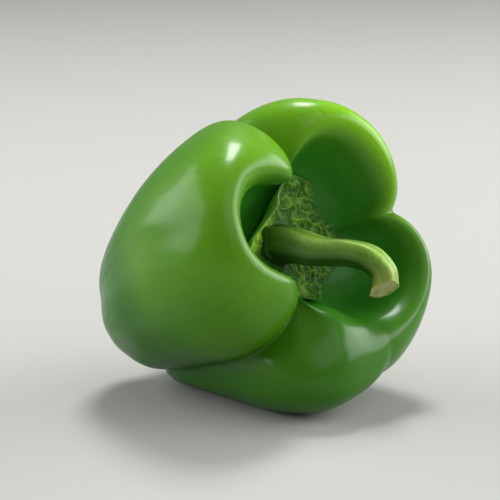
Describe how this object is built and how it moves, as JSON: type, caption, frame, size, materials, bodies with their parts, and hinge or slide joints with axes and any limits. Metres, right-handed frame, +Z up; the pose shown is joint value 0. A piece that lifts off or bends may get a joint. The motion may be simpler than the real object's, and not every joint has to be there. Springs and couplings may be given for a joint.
{
  "type": "green bell pepper",
  "caption": "Whole green bell pepper lying on its side, with deep lobes, a crinkled calyx in its stem hollow and a short curved stem.",
  "frame": {"origin": "on the ground, under the middle of the pepper's box as it lies on its side", "axes": "+Z up; the stem axis leans up from +X, so the stem hollow faces +X and the blossom end -X"},
  "size_m": [0.0842, 0.0858, 0.085],
  "materials": {
    "skin": "waxy, glossy green skin, yellower on the ridges and darker low down and in the stem hollow",
    "calyx": "matte, crinkled green with paler ribs and edge",
    "stem": "satin yellow-green with lengthwise ribs, dark at the base and tan at the cut end"
  },
  "bodies": {
    "root": {"pod": "skin", "calyx": "calyx", "stem": "stem"}
  },
  "joints": []
}
